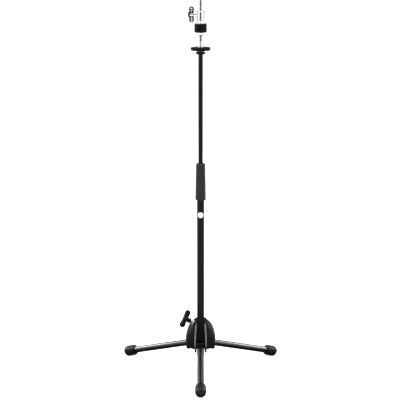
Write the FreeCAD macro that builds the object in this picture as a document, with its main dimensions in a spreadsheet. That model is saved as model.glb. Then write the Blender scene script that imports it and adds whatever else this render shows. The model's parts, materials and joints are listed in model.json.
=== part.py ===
import FreeCAD, Part
import math
import os
from types import SimpleNamespace

import Sketcher

# A straight stand for a pair of hi-hat cymbals on a three-legged folding base.
# +Z is up, the mast stands on the Z axis and the floor is z = 0.  The front leg points along -Y.
# All lengths are millimetres, all angles degrees.

SIZES = [
    ("leg_slope", 15.95, "leg axis below the horizontal"),
    ("leg_length", 241, "pivot to the centre of the foot's round end"),
    ("leg_heel_room", 1, "room for the round heel of a leg to turn past the hub's core"),
    ("leg_tube_diameter", 20, ""),
    ("leg_tube_wall", 1.5, ""),
    ("leg_tube_start", 14, "pivot to the inner end of the leg tube"),
    ("leg_spigot_length", 30, "knuckle's spigot inside the leg tube"),
    ("leg_pin_diameter", 8, ""),
    ("leg_pin_grip", 6, "pin length held in each lobe of the hub"),
    ("leg_heel_drop", 7, "flat heel below the pivot that stops the leg against the core"),
    ("leg_side_gap", 0.6, "leg to the wall of its channel"),
    ("foot_diameter", 33, ""),
    ("foot_barrel", 24, "foot behind its round end"),
    ("foot_collar", 4.5, "raised ring at the mouth of the foot"),
    ("foot_groove", 2.5, "groove between ring and barrel"),
    ("foot_groove_depth", 1.6, ""),
    ("foot_flat", 0.5, "depth of the flat under the foot"),
    ("hub_diameter", 89, ""),
    ("hub_height", 87, "from the underside of the lobes"),
    ("hub_skirt", 20, "straight part of the hub's side"),
    ("hub_collar_wall", 4.5, "wall round the mast at the hub's top"),
    ("hub_core_wall", 6, "wall between the mast and each leg channel"),
    ("hub_below_pivot", 8, "leg pivot down to the underside of the lobes"),
    ("prong_length", 12, "cheeks that reach down beside each leg"),
    ("prong_thickness", 4.5, ""),
    ("prong_start", 33.2, "inner end of the cheeks from the mast axis"),
    ("hub_flare_start", 22, "radius at which a channel begins to widen"),
    ("hub_mouth_width", 30, "width of a channel at the hub's rim"),
    ("plate_thickness", 3, ""),
    ("plate_gap", 0.8, "plate rim to the cheeks"),
    ("plate_screw_circle", 25, "radius of the circle of plate screws"),
    ("plate_screw_diameter", 4, ""),
    ("plate_screw_head", 7.4, ""),
    ("plate_screw_length", 16, ""),
    ("knob_azimuth", 210, "midway between two legs"),
    ("knob_tilt", 28.8, "knob axis above the horizontal"),
    ("knob_axis_height", 55, "leg pivot up to where the knob axis meets the mast axis"),
    ("knob_screw_diameter", 8, ""),
    ("knob_pad_length", 6.75, "mast to the tip of the screw, along the screw"),
    ("knob_insert_diameter", 11.2, ""),
    ("knob_insert_behind", 3.7, "tip of the screw to the threaded insert"),
    ("knob_insert_length", 7, ""),
    ("knob_screw_bare", 23.7, "tip of the screw to the inner end of the knob"),
    ("knob_neck_diameter", 15, ""),
    ("knob_neck_length", 10.5, ""),
    ("knob_bar_depth", 17, "bar of the knob, measured along the screw"),
    ("knob_bar_waist", 13, ""),
    ("knob_bar_length", 56, ""),
    ("knob_bar_thickness", 16, ""),
    ("mast_diameter", 22, "lower tube"),
    ("mast_wall", 1.5, ""),
    ("mast_length", 516, ""),
    ("mast_below_plate", 27, "lower tube's end under the base plate"),
    ("mast_plug_cap", 4, ""),
    ("mast_plug_spigot", 8, ""),
    ("ferrule_wall", 1.6, "ferrule outside the lower tube"),
    ("ferrule_skirt", 20, "ferrule down over the lower tube"),
    ("ferrule_neck", 24, "ferrule above the lower tube"),
    ("grip_overlap", 31, "grip down over the lower tube"),
    ("grip_length", 111, ""),
    ("grip_bottom_wall", 3.25, "outside the ferrule"),
    ("grip_top_wall", 1.25, "outside the ferrule's radius"),
    ("grip_top_bore_length", 18, ""),
    ("grip_flutes", 10, "number of flutes"),
    ("grip_flute_depth", 0.9, ""),
    ("grip_flute_width", 5, ""),
    ("collet_length", 30, ""),
    ("collet_wall", 2.4, ""),
    ("collet_slit", 1.2, ""),
    ("badge_height", 76, "badge centre below the top of the lower tube"),
    ("badge_diameter", 20, ""),
    ("badge_face_diameter", 16, ""),
    ("badge_thickness", 0.7, ""),
    ("upper_tube_diameter", 13.2, ""),
    ("upper_tube_wall", 1.2, ""),
    ("upper_tube_length", 594, ""),
    ("upper_tube_overlap", 188, "upper tube inside the lower tube"),
    ("bush_length", 30, ""),
    ("bush_lip", 4, ""),
    ("flange_diameter", 27.4, ""),
    ("flange_height", 6.4, ""),
    ("flange_plug", 30, "plug inside the upper tube"),
    ("cup_diameter", 38, ""),
    ("cup_base_diameter", 27, ""),
    ("cup_height", 4.6, ""),
    ("seat_felt_diameter", 57.4, ""),
    ("seat_felt_thickness", 9, ""),
    ("seat_felt_edge", 7.4, "height of the felt's rim"),
    ("seat_post_diameter", 12.5, "fits the hole of a cymbal"),
    ("seat_post_collar", 15.2, ""),
    ("seat_post_length", 19.5, "above the felt"),
    ("seat_post_chamfer", 1, ""),
    ("seat_spigot_diameter", 10, ""),
    ("rod_diameter", 6, ""),
    ("rod_above_post", 118.4, ""),
    ("rod_in_plug", 26, "rod below the top of the flange"),
    ("clutch_gap", 15.6, "seat post to the clutch above it"),
    ("lock_nut_diameter", 29.4, ""),
    ("lock_nut_base", 21, ""),
    ("lock_nut_height", 8.8, ""),
    ("clutch_washer_diameter", 36, ""),
    ("clutch_washer_thickness", 2, ""),
    ("clutch_felt_diameter", 34.4, ""),
    ("clutch_felt_thickness", 10.2, ""),
    ("adjusting_nut_diameter", 26.4, ""),
    ("adjusting_nut_height", 6, ""),
    ("clutch_neck_diameter", 18.6, ""),
    ("clutch_neck_height", 6.4, ""),
    ("clutch_body_diameter", 23.8, ""),
    ("clutch_body_height", 24.2, ""),
    ("clutch_stem_diameter", 12, ""),
    ("clutch_stem_socket", 14, "stem inside the clutch body"),
    ("clutch_screw_height", 14.4, "wing screw above the clutch body's shoulder"),
    ("clutch_screw_diameter", 6, ""),
    ("clutch_boss_diameter", 13.6, ""),
    ("clutch_boss_reach", 19, "mast axis to the face of the screw boss"),
    ("wing_gap", 2.4, "screw boss to the wing's boss"),
    ("wing_boss_diameter", 13.4, ""),
    ("wing_boss_length", 15.4, ""),
    ("wing_span", 45.6, ""),
    ("wing_depth", 17.4, "wing measured along the screw"),
    ("wing_waist", 11, ""),
    ("wing_thickness", 4.6, ""),
    ("running_fit", 0.05, "radial clearance of a shaft in its bore"),
    ("press_gap", 0.02, "radial clearance between pieces fixed together"),
    ("loose_gap", 0.3, "clearance between pieces that only pass each other"),
]

LEGS = [("front", 270), ("left", 150), ("right", 30)]
LOBES = [("rear", 90), ("left", 210), ("right", 330)]

doc = FreeCAD.newDocument("HiHatStand")
sheet = doc.addObject("Spreadsheet::Sheet", "Sizes")
nodes = {}


def value_of(item):
    return item.value if isinstance(item, Size) else float(item)


def text_of(item):
    return item.text if isinstance(item, Size) else repr(item)


class Size:
    """A number together with the spreadsheet expression that drives it."""

    def __init__(self, value, text):
        self.value = float(value)
        self.text = text

    def __add__(self, other):
        return Size(self.value + value_of(other), f"({self.text} + {text_of(other)})")

    def __radd__(self, other):
        return Size(value_of(other) + self.value, f"({text_of(other)} + {self.text})")

    def __sub__(self, other):
        return Size(self.value - value_of(other), f"({self.text} - {text_of(other)})")

    def __rsub__(self, other):
        return Size(value_of(other) - self.value, f"({text_of(other)} - {self.text})")

    def __mul__(self, other):
        return Size(self.value * value_of(other), f"({self.text} * {text_of(other)})")

    __rmul__ = __mul__

    def __truediv__(self, other):
        return Size(self.value / value_of(other), f"({self.text} / {text_of(other)})")

    def __neg__(self):
        return Size(-self.value, f"(0 - {self.text})")


def sine(angle):
    return Size(math.sin(math.radians(value_of(angle))), f"sin({text_of(angle)})")


def cosine(angle):
    return Size(math.cos(math.radians(value_of(angle))), f"cos({text_of(angle)})")


def fill_sheet():
    """Put every driving size in the sheet and hand them back as named values."""
    named = SimpleNamespace()
    for row, (name, number, meaning) in enumerate(SIZES, start=1):
        sheet.set(f"A{row}", name)
        sheet.set(f"B{row}", str(number))
        sheet.set(f"C{row}", meaning)
        sheet.setAlias(f"B{row}", name)
    doc.recompute()
    for name, _, _ in SIZES:
        setattr(named, name, Size(sheet.get(name), f"Sizes.{name}"))
    return named


d = fill_sheet()


def keep(node, feature):
    """Name a finished piece."""
    feature.Label = node
    nodes[node] = feature
    return feature


def placed(feature, x, y, z, azimuth=0, tilt=0):
    """Tip a piece's own Z axis over by tilt, swing it to azimuth and carry it to x, y, z."""
    base = f"vector({text_of(x)}; {text_of(y)}; {text_of(z)})"
    swing = f"rotation(vector(0; 0; 1); {text_of(azimuth)})"
    tip = f"rotation(vector(0; 1; 0); {text_of(tilt)})"
    feature.setExpression("Placement", f"placement({base}; {swing} * {tip})")
    return feature


def sketch_on(body, name, role):
    """An empty sketch on one of the body's own origin planes."""
    sketch = body.newObject("Sketcher::SketchObject", name)
    plane = [item for item in body.Origin.OriginFeatures if item.Role == role][0]
    sketch.AttachmentSupport = [(plane, "")]
    sketch.MapMode = "FlatFace"
    return sketch


def pin_point(sketch, index, place, x, y, tag):
    """Hold one end of an edge at x, y from the sketch's origin."""
    for axis, item, onto in (("X", x, -2), ("Y", y, -1)):
        if not isinstance(item, Size) and item == 0:
            sketch.addConstraint(Sketcher.Constraint("PointOnObject", index, place, onto))
            continue
        rule = Sketcher.Constraint(f"Distance{axis}", -1, 1, index, place, value_of(item))
        number = sketch.addConstraint(rule)
        sketch.renameConstraint(number, f"{tag}_{axis.lower()}")
        sketch.setExpression(f"Constraints.{tag}_{axis.lower()}", text_of(item))


def arc_between(start, end, radius):
    """The short arc from start to end; a positive radius bulges to the right of the way along."""
    chord = end - start
    reach = abs(radius)
    rise = reach - math.sqrt(max(reach * reach - chord.Length ** 2 / 4, 0.0))
    side = FreeCAD.Vector(chord.y, -chord.x, 0).normalize()
    return Part.Arc(start, (start + end) / 2 + side * math.copysign(rise, radius), end)


def outline(body, name, role, corners):
    """A closed outline through corners (x, y) or (x, y, radius of the arc to the next corner)."""
    sketch = sketch_on(body, name, role)
    points = [FreeCAD.Vector(value_of(c[0]), value_of(c[1]), 0) for c in corners]
    ends = []
    for index, corner in enumerate(corners):
        start = points[index]
        end = points[(index + 1) % len(points)]
        if len(corner) == 3:
            sketch.addGeometry(arc_between(start, end, value_of(corner[2])), False)
        else:
            sketch.addGeometry(Part.LineSegment(start, end), False)
        first = 1 if sketch.getPoint(index, 1).distanceToPoint(start) < 1e-6 else 2
        ends.append((first, 3 - first))
    for index in range(len(corners)):
        follower = (index + 1) % len(corners)
        rule = Sketcher.Constraint("Coincident", index, ends[index][1], follower, ends[follower][0])
        sketch.addConstraint(rule)
    for index, corner in enumerate(corners):
        pin_point(sketch, index, ends[index][0], corner[0], corner[1], f"corner{index}")
        if len(corner) == 3:
            bend = corner[2] if value_of(corner[2]) > 0 else -corner[2]
            number = sketch.addConstraint(Sketcher.Constraint("Radius", index, value_of(bend)))
            sketch.renameConstraint(number, f"bend{index}")
            sketch.setExpression(f"Constraints.bend{index}", text_of(bend))
    return sketch


def ring_sketch(body, name, role, x, y, radius):
    """A circle at x, y on one of the body's planes."""
    sketch = sketch_on(body, name, role)
    centre = FreeCAD.Vector(value_of(x), value_of(y), 0)
    sketch.addGeometry(Part.Circle(centre, FreeCAD.Vector(0, 0, 1), value_of(radius)), False)
    pin_point(sketch, 0, 3, x, y, "centre")
    number = sketch.addConstraint(Sketcher.Constraint("Radius", 0, value_of(radius)))
    sketch.renameConstraint(number, "radius")
    sketch.setExpression("Constraints.radius", text_of(radius))
    return sketch


def new_body(node):
    return doc.addObject("PartDesign::Body", node + "_body")


def turn(body, name, corners):
    """Add a turned shape from (radius, height) corners about the body's own Z axis."""
    feature = body.newObject("PartDesign::Revolution", name)
    profile = outline(body, name + "_profile", "XZ_Plane", corners)
    feature.Profile = profile
    feature.ReferenceAxis = (profile, ["V_Axis"])
    feature.Angle = 360
    body.Tip = feature
    return feature


def extrude(body, kind, name, profile, length, symmetric=False, reverse=False):
    """Pad or pocket a sketch by a bound length."""
    feature = body.newObject("PartDesign::" + kind, name)
    feature.Profile = profile
    feature.Length = value_of(length)
    feature.setExpression("Length", text_of(length))
    feature.SideType = "Symmetric" if symmetric else "One side"
    feature.Reversed = reverse
    body.Tip = feature
    return feature


def around(body, name, originals, count):
    """Repeat cuts evenly about the body's Z axis."""
    doc.recompute()
    pattern = body.newObject("PartDesign::PolarPattern", name)
    pattern.Originals = originals
    upright = [item for item in body.Origin.OriginFeatures if item.Role == "Z_Axis"][0]
    pattern.Axis = (upright, [""])
    pattern.Angle = 360
    pattern.Occurrences = int(value_of(count))
    if isinstance(count, Size):
        pattern.setExpression("Occurrences", count.text)
    body.Tip = pattern
    return pattern


def turned(node, corners):
    """A whole piece that is one turned shape."""
    body = new_body(node)
    turn(body, node + "_turned", corners)
    return keep(node, body)


def tube(node, outer, inner, bottom, top):
    """A plain tube or ring given by its radii and its two ends."""
    return turned(node, [(inner, bottom), (outer, bottom), (outer, top), (inner, top)])


def rod(name, radius, length, x, y, z, azimuth=0, tilt=0):
    """A round bar as a primitive, for cutting slanted holes and slanted pieces."""
    bar = doc.addObject("Part::Cylinder", name)
    bar.setExpression("Radius", text_of(radius))
    bar.setExpression("Height", text_of(length))
    return placed(bar, x, y, z, azimuth, tilt)


def less(name, base, tool):
    cut = doc.addObject("Part::Cut", name)
    cut.Base = base
    cut.Tool = tool
    return cut


# Heights and radii that several pieces share.
foot_radius = d.foot_diameter / 2
leg_radius = d.leg_tube_diameter / 2
pin_radius = d.leg_pin_diameter / 2
pivot_z = d.leg_length * sine(d.leg_slope) + foot_radius - d.foot_flat
mast_radius = d.mast_diameter / 2
core_radius = mast_radius + d.hub_core_wall
leg_pivot_radius = core_radius + leg_radius + d.leg_heel_room
hub_bottom = pivot_z - d.hub_below_pivot
prong_bottom = hub_bottom - d.prong_length
hub_top = hub_bottom + d.hub_height
hub_radius = d.hub_diameter / 2
plate_bottom = hub_bottom - d.plate_thickness
channel_half = leg_radius + d.leg_side_gap
pin_half = channel_half + d.leg_pin_grip
mast_inner = mast_radius - d.mast_wall
mast_bottom = plate_bottom - d.mast_below_plate
mast_top = mast_bottom + d.mast_length
knob_centre_z = pivot_z + d.knob_axis_height
knob_screw_radius = d.knob_screw_diameter / 2
knob_screw_start = mast_radius / cosine(d.knob_tilt) + d.knob_pad_length
knob_insert_start = knob_screw_start + d.knob_insert_behind
knob_neck_start = knob_screw_start + d.knob_screw_bare
knob_bar_start = knob_neck_start + d.knob_neck_length
upper_radius = d.upper_tube_diameter / 2
upper_inner = upper_radius - d.upper_tube_wall
upper_bottom = mast_top - d.upper_tube_overlap
upper_top = upper_bottom + d.upper_tube_length
ferrule_top = mast_top + d.ferrule_neck
ferrule_radius = mast_radius + d.ferrule_wall
ferrule_bore = mast_inner - d.loose_gap
collet_radius = upper_radius + d.collet_wall
rod_radius = d.rod_diameter / 2
flange_top = upper_top + d.flange_height
cup_top = flange_top + d.cup_height
felt_top = cup_top + d.seat_felt_thickness
post_top = felt_top + d.seat_post_length
lock_nut_bottom = post_top + d.clutch_gap
lock_nut_top = lock_nut_bottom + d.lock_nut_height
lower_washer_bottom = lock_nut_top + d.loose_gap
lower_washer_top = lower_washer_bottom + d.clutch_washer_thickness
lower_felt_bottom = lower_washer_top + d.loose_gap
felts_meet = lower_felt_bottom + d.clutch_felt_thickness
upper_felt_top = felts_meet + d.clutch_felt_thickness
upper_washer_top = upper_felt_top + d.clutch_washer_thickness
adjusting_nut_top = upper_washer_top + d.adjusting_nut_height
clutch_shoulder = adjusting_nut_top + d.clutch_neck_height
clutch_top = clutch_shoulder + d.clutch_body_height
clutch_screw_z = clutch_shoulder + d.clutch_screw_height
stem_radius = d.clutch_stem_diameter / 2
clutch_screw_radius = d.clutch_screw_diameter / 2
wing_start = d.clutch_boss_reach + d.wing_gap


def make_hub():
    """The domed housing: bored for the mast, with three leg channels and the slots for their pins."""
    body = new_body("hub_housing")
    shoulder = hub_bottom + d.hub_skirt
    bore = mast_radius + d.running_fit
    corner = d.prong_length / 2
    turn(body, "hub_dome", [
        (bore, prong_bottom),
        (hub_radius - corner, prong_bottom, corner),
        (hub_radius, prong_bottom + corner),
        (hub_radius, shoulder, hub_radius * 2.36),
        (hub_radius * 0.87, shoulder + d.hub_height * 0.397, hub_radius * 1.76),
        (hub_radius * 0.652, shoulder + d.hub_height * 0.617, hub_radius * 0.9),
        (mast_radius + d.hub_collar_wall, hub_bottom + d.hub_height),
        (bore, hub_bottom + d.hub_height),
    ])
    cheeks = ring_sketch(body, "inside_cheeks_plan", "XY_Plane", 0, 0, d.prong_start)
    extrude(body, "Pocket", "inside_cheeks", cheeks, hub_bottom, reverse=True)
    wall = channel_half + d.prong_thickness
    flared = d.hub_mouth_width / 2 + d.prong_thickness
    beyond = hub_radius + 1
    between = outline(body, "between_cheeks_plan", "XY_Plane", [
        (0, wall / cosine(30)),
        (along_x(d.hub_flare_start, wall), along_y(d.hub_flare_start, wall)),
        (along_x(beyond, flared), along_y(beyond, flared)),
        (along_x(beyond, flared), beyond),
        (-along_x(beyond, flared), beyond),
        (-along_x(beyond, flared), along_y(beyond, flared)),
        (-along_x(d.hub_flare_start, wall), along_y(d.hub_flare_start, wall)),
    ])
    between_cut = extrude(body, "Pocket", "between_cheeks", between, hub_bottom, reverse=True)
    around(body, "cheeks", [between_cut], 3)

    channel = channel_plan(body, "channel_plan", channel_half)
    channel_cut = extrude(body, "Pocket", "channel", channel, hub_top + 5, reverse=True)
    slot = pin_radius + d.press_gap
    slot_plan = outline(body, "pin_slot_plan", "YZ_Plane", [
        (-leg_pivot_radius - slot, hub_bottom - 1),
        (-leg_pivot_radius + slot, hub_bottom - 1),
        (-leg_pivot_radius + slot, pivot_z, slot),
        (-leg_pivot_radius, pivot_z + slot, slot),
        (-leg_pivot_radius - slot, pivot_z),
    ])
    slot_cut = extrude(body, "Pocket", "pin_slot", slot_plan, pin_half * 2 + d.press_gap, symmetric=True)
    around(body, "channels_and_slots", [channel_cut, slot_cut], 3)

    aim = (0, 0, knob_centre_z, d.knob_azimuth, 90 - d.knob_tilt)
    screw_way = rod("knob_screw_way", knob_screw_radius + d.running_fit, hub_radius + 10, *aim)
    drilled = less("hub_drilled", body, screw_way)
    seat = placed(
        turned_tool("knob_insert_seat", [
            (0, knob_insert_start),
            (d.knob_insert_diameter / 2 + d.press_gap, knob_insert_start),
            (d.knob_insert_diameter / 2 + d.press_gap, hub_radius),
            (0, hub_radius),
        ]), *aim)
    seated = less("hub_seated", drilled, seat)
    hub = seated
    for name, azimuth in LOBES:
        x = d.plate_screw_circle * cosine(azimuth)
        y = d.plate_screw_circle * sine(azimuth)
        depth = d.plate_screw_length - d.plate_thickness + 1
        hole = rod(f"plate_hole_{name}", d.plate_screw_diameter / 2 + d.press_gap, depth, x, y, hub_bottom)
        hub = less(f"hub_with_hole_{name}", hub, hole)
    return keep("hub_housing", hub)


def along_x(out, across):
    """X of a point given along and across the right-hand leg's direction."""
    return out * cosine(30) - across * sine(30)


def along_y(out, across):
    return out * sine(30) + across * cosine(30)


def channel_plan(body, name, half):
    """Plan of the front leg's channel, flat at the core and widening towards the rim."""
    mouth = half + d.hub_mouth_width / 2 - channel_half
    return outline(body, name, "XY_Plane", [
        (-half, -core_radius),
        (-half, -d.hub_flare_start),
        (-mouth, -hub_radius - 1),
        (mouth, -hub_radius - 1),
        (half, -d.hub_flare_start),
        (half, -core_radius),
    ])


def turned_tool(name, corners):
    """A turned cutter that isn't a piece of its own."""
    body = new_body(name)
    turn(body, name + "_turned", corners)
    return body


def make_base_plate():
    """The plate that closes the lobes from below, with keepers that hold the leg pins up."""
    body = new_body("base_plate")
    rim = d.prong_start - d.plate_gap
    turn(body, "plate_disc", [
        (mast_radius + d.loose_gap, plate_bottom),
        (rim - 1, plate_bottom),
        (rim, plate_bottom + 1),
        (rim, hub_bottom - d.press_gap),
        (mast_radius + d.loose_gap, hub_bottom - d.press_gap),
    ])
    keeper = pin_radius - d.loose_gap
    top = pivot_z - pin_radius - d.press_gap
    plan = outline(body, "keeper_plan", "YZ_Plane", [
        (-leg_pivot_radius - keeper, hub_bottom - 1),
        (-leg_pivot_radius + keeper, hub_bottom - 1),
        (-leg_pivot_radius + keeper, top),
        (-leg_pivot_radius - keeper, top),
    ])
    post = extrude(body, "Pad", "keeper_bar", plan, pin_half * 2 - d.plate_gap, symmetric=True)
    way = channel_plan(body, "leg_way_plan", channel_half + d.loose_gap)
    way_cut = extrude(body, "Pocket", "leg_way", way, hub_top, reverse=True)
    around(body, "keepers", [post, way_cut], 3)
    plate = body
    head = d.plate_screw_head / 2 + d.press_gap
    shank = d.plate_screw_diameter / 2 + d.press_gap
    for name, azimuth in LOBES:
        cutter = turned_tool(f"countersink_{name}", [
            (0, plate_bottom - 1),
            (head, plate_bottom - 1),
            (head, plate_bottom),
            (shank, plate_bottom + head - shank),
            (shank, hub_bottom + 1),
            (0, hub_bottom + 1),
        ])
        x = d.plate_screw_circle * cosine(azimuth)
        y = d.plate_screw_circle * sine(azimuth)
        plate = less(f"plate_with_hole_{name}", plate, placed(cutter, x, y, 0))
    return keep("base_plate", plate)


def make_plate_screws():
    """Three countersunk screws that hold the plate to the hub's lobes."""
    head = d.plate_screw_head / 2
    shank = d.plate_screw_diameter / 2
    for name, azimuth in LOBES:
        screw = turned(f"plate_screw_{name}", [
            (0, plate_bottom),
            (head, plate_bottom),
            (shank, plate_bottom + head - shank),
            (shank, plate_bottom + d.plate_screw_length),
            (0, plate_bottom + d.plate_screw_length),
        ])
        placed(screw, d.plate_screw_circle * cosine(azimuth), d.plate_screw_circle * sine(azimuth), 0)


def leaned(out, up):
    """A point given outwards and upwards from a leg's pivot, in the leaning leg's own sketch."""
    across = out * sine(d.leg_slope) * -1 - up * cosine(d.leg_slope)
    along = out * cosine(d.leg_slope) - up * sine(d.leg_slope)
    return across, along


def make_leg(side, azimuth):
    """One leg, built along its own Z axis from the pivot outwards, then leaned out and down."""
    at = (leg_pivot_radius * cosine(azimuth), leg_pivot_radius * sine(azimuth), pivot_z)
    lean = 90 + d.leg_slope
    bore = pin_radius + d.running_fit
    spigot = leg_radius - d.leg_tube_wall - d.press_gap

    knuckle = new_body(f"leg_knuckle_{side}")
    eye = ring_sketch(knuckle, f"eye_plan_{side}", "XZ_Plane", 0, 0, leg_radius - 0.2)
    extrude(knuckle, "Pad", f"eye_{side}", eye, leg_radius * 2 - 0.2, symmetric=True)
    turn(knuckle, f"neck_{side}", [
        (0, 0),
        (leg_radius - 0.1, 0),
        (leg_radius - 0.1, d.leg_tube_start),
        (spigot, d.leg_tube_start),
        (spigot, d.leg_tube_start + d.leg_spigot_length),
        (0, d.leg_tube_start + d.leg_spigot_length),
    ])
    heel = leg_radius + d.leg_heel_room - d.loose_gap
    corners = [(-heel, 0), (-heel, -d.leg_heel_drop), (-leg_radius * 0.4, -d.leg_heel_drop), (0, 0)]
    block = outline(knuckle, f"heel_plan_{side}", "XZ_Plane", [leaned(out, up) for out, up in corners])
    extrude(knuckle, "Pad", f"heel_{side}", block, leg_radius * 2 - 0.2, symmetric=True)
    hole = ring_sketch(knuckle, f"pin_hole_plan_{side}", "XZ_Plane", 0, 0, bore)
    extrude(knuckle, "Pocket", f"pin_hole_{side}", hole, leg_radius * 2 + 2, symmetric=True)
    placed(keep(f"leg_knuckle_{side}", knuckle), *at, azimuth, lean)

    inner = leg_radius - d.leg_tube_wall
    placed(tube(f"leg_tube_{side}", leg_radius, inner, d.leg_tube_start, d.leg_length), *at, azimuth, lean)

    pin = new_body(f"leg_pin_{side}")
    plan = ring_sketch(pin, f"leg_pin_plan_{side}", "XZ_Plane", 0, 0, pin_radius)
    extrude(pin, "Pad", f"leg_pin_bar_{side}", plan, pin_half * 2 - 0.2, symmetric=True)
    placed(keep(f"leg_pin_{side}", pin), *at, azimuth, lean)

    make_foot(side, at, azimuth, lean)


def make_foot(side, at, azimuth, lean):
    """A rubber boot: round nose, barrel, groove and raised ring, with a small flat that meets the floor."""
    mouth = d.leg_length - d.foot_barrel
    ring_end = mouth + d.foot_collar
    barrel = ring_end + d.foot_groove
    valley = foot_radius - d.foot_groove_depth
    foot = new_body(f"foot_{side}")
    turn(foot, f"boot_{side}", [
        (leg_radius + d.press_gap, mouth),
        (foot_radius - 2, mouth, 1.6),
        (foot_radius - 0.6, mouth + 1.2),
        (foot_radius - 0.6, ring_end - 0.6),
        (valley, ring_end),
        (valley, barrel),
        (foot_radius - 0.2, barrel + 1.2),
        (foot_radius, d.leg_length, foot_radius),
        (0, d.leg_length + foot_radius),
        (0, d.leg_length + d.press_gap),
        (leg_radius + d.press_gap, d.leg_length + d.press_gap),
    ])
    near = d.leg_length - foot_radius
    far = d.leg_length + foot_radius
    deep = foot_radius * 2
    near_floor = (pivot_z - near * sine(d.leg_slope)) / cosine(d.leg_slope)
    far_floor = (pivot_z - far * sine(d.leg_slope)) / cosine(d.leg_slope)
    under = outline(foot, f"foot_flat_plan_{side}", "XZ_Plane", [
        (near_floor, near),
        (near_floor + deep, near),
        (near_floor + deep, far),
        (far_floor, far),
    ])
    extrude(foot, "Pocket", f"foot_flat_{side}", under, deep, symmetric=True)
    placed(keep(f"foot_{side}", foot), *at, azimuth, lean)


def make_hub_knob():
    """The clamp of the hub: insert, pad, screw and bar knob on one slanted axis."""
    aim = (0, 0, knob_centre_z, d.knob_azimuth, 90 - d.knob_tilt)
    insert = tube("hub_insert", d.knob_insert_diameter / 2, knob_screw_radius + d.running_fit,
                  knob_insert_start + d.press_gap, knob_insert_start + d.knob_insert_length)
    placed(insert, *aim)

    pad_end = knob_screw_start - d.loose_gap
    block = rod("pad_block", knob_screw_radius - 0.1, d.knob_pad_length,
                cosine(d.knob_azimuth) * cosine(d.knob_tilt) * (pad_end - d.knob_pad_length),
                sine(d.knob_azimuth) * cosine(d.knob_tilt) * (pad_end - d.knob_pad_length),
                knob_centre_z + sine(d.knob_tilt) * (pad_end - d.knob_pad_length),
                d.knob_azimuth, 90 - d.knob_tilt)
    hollow = rod("pad_hollow", mast_radius + d.loose_gap, d.hub_height, 0, 0, hub_bottom)
    keep("hub_clamp_pad", less("pad_shaped", block, hollow))

    deep = knob_bar_start + d.knob_bar_depth - 4
    screw = turned("hub_screw", [
        (0, knob_screw_start),
        (knob_screw_radius - 0.8, knob_screw_start),
        (knob_screw_radius, knob_screw_start + 0.8),
        (knob_screw_radius, deep),
        (0, deep),
    ])
    placed(screw, *aim)
    make_bar_knob(aim, deep)


def make_bar_knob(aim, deep):
    """A bar with rounded, thicker ends on a tapered neck."""
    knob = new_body("hub_knob")
    neck = d.knob_neck_diameter / 2
    blind = deep + d.loose_gap
    turn(knob, "knob_neck", [
        (knob_screw_radius + d.running_fit, knob_neck_start),
        (neck, knob_neck_start),
        (neck + 0.6, knob_bar_start + 3),
        (neck - 0.4, knob_bar_start + d.knob_bar_depth - 1),
        (0, knob_bar_start + d.knob_bar_depth - 1),
        (0, blind),
        (knob_screw_radius + d.running_fit, blind),
    ])
    half = d.knob_bar_length / 2
    low = knob_bar_start
    high = knob_bar_start + d.knob_bar_depth
    middle = (low + high) / 2
    waist = d.knob_bar_waist / 2
    bulge = d.knob_bar_depth / 2
    bar = outline(knob, "knob_bar_plan", "XZ_Plane", [
        (neck - 0.4, middle - waist),
        (half - bulge, low, bulge),
        (half, middle, bulge),
        (half - bulge, high),
        (neck - 0.4, middle + waist),
        (-neck + 0.4, middle + waist),
        (-half + bulge, high, bulge),
        (-half, middle, bulge),
        (-half + bulge, low),
        (-neck + 0.4, middle - waist),
    ])
    extrude(knob, "Pad", "knob_bar", bar, d.knob_bar_thickness, symmetric=True)
    hole = outline(knob, "knob_bore_plan", "XZ_Plane", [
        (0, knob_neck_start - 1),
        (knob_screw_radius + d.running_fit, knob_neck_start - 1),
        (knob_screw_radius + d.running_fit, blind),
        (0, blind),
    ])
    groove = knob.newObject("PartDesign::Groove", "knob_bore")
    groove.Profile = hole
    groove.ReferenceAxis = (hole, ["V_Axis"])
    groove.Angle = 360
    knob.Tip = groove
    placed(keep("hub_knob", knob), *aim)


def make_mast():
    """The lower tube with its bottom plug, top ferrule and badge."""
    tube("mast_tube", mast_radius, mast_inner, mast_bottom, mast_top)
    turned("mast_plug", [
        (0, mast_bottom - d.mast_plug_cap),
        (mast_radius - 1, mast_bottom - d.mast_plug_cap),
        (mast_radius, mast_bottom - d.mast_plug_cap + 1),
        (mast_radius, mast_bottom),
        (mast_inner - d.press_gap, mast_bottom),
        (mast_inner - d.press_gap, mast_bottom + d.mast_plug_spigot),
        (0, mast_bottom + d.mast_plug_spigot),
    ])
    turned("mast_ferrule", [
        (mast_radius + d.press_gap, mast_top - d.ferrule_skirt),
        (ferrule_radius, mast_top - d.ferrule_skirt),
        (ferrule_radius, ferrule_top),
        (ferrule_bore, ferrule_top),
        (ferrule_bore, mast_top + d.press_gap),
        (mast_radius + d.press_gap, mast_top + d.press_gap),
    ])
    badge_z = mast_top - d.badge_height
    outside = mast_radius + d.badge_thickness
    inside = mast_radius + d.press_gap
    middle = (d.badge_diameter + d.badge_face_diameter) / 4
    for node, outer, proud in (("badge_rim", d.badge_diameter / 2, 0), ("badge_face", middle, -0.25)):
        shell = less(node + "_shell",
                     rod(node + "_skin", outside + proud, d.badge_diameter * 2, 0, 0, badge_z - d.badge_diameter),
                     rod(node + "_tube", inside, d.badge_diameter * 2, 0, 0, badge_z - d.badge_diameter))
        common = doc.addObject("Part::Common", node + "_round")
        common.Base = shell
        common.Tool = rod(node + "_disc", outer, d.mast_diameter, 0, 0, badge_z, 270, 90)
        if node == "badge_face":
            keep(node, common)
        else:
            core = rod("badge_hole", middle + d.press_gap, d.mast_diameter, 0, 0, badge_z, 270, 90)
            keep(node, less("badge_ring", common, core))


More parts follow.
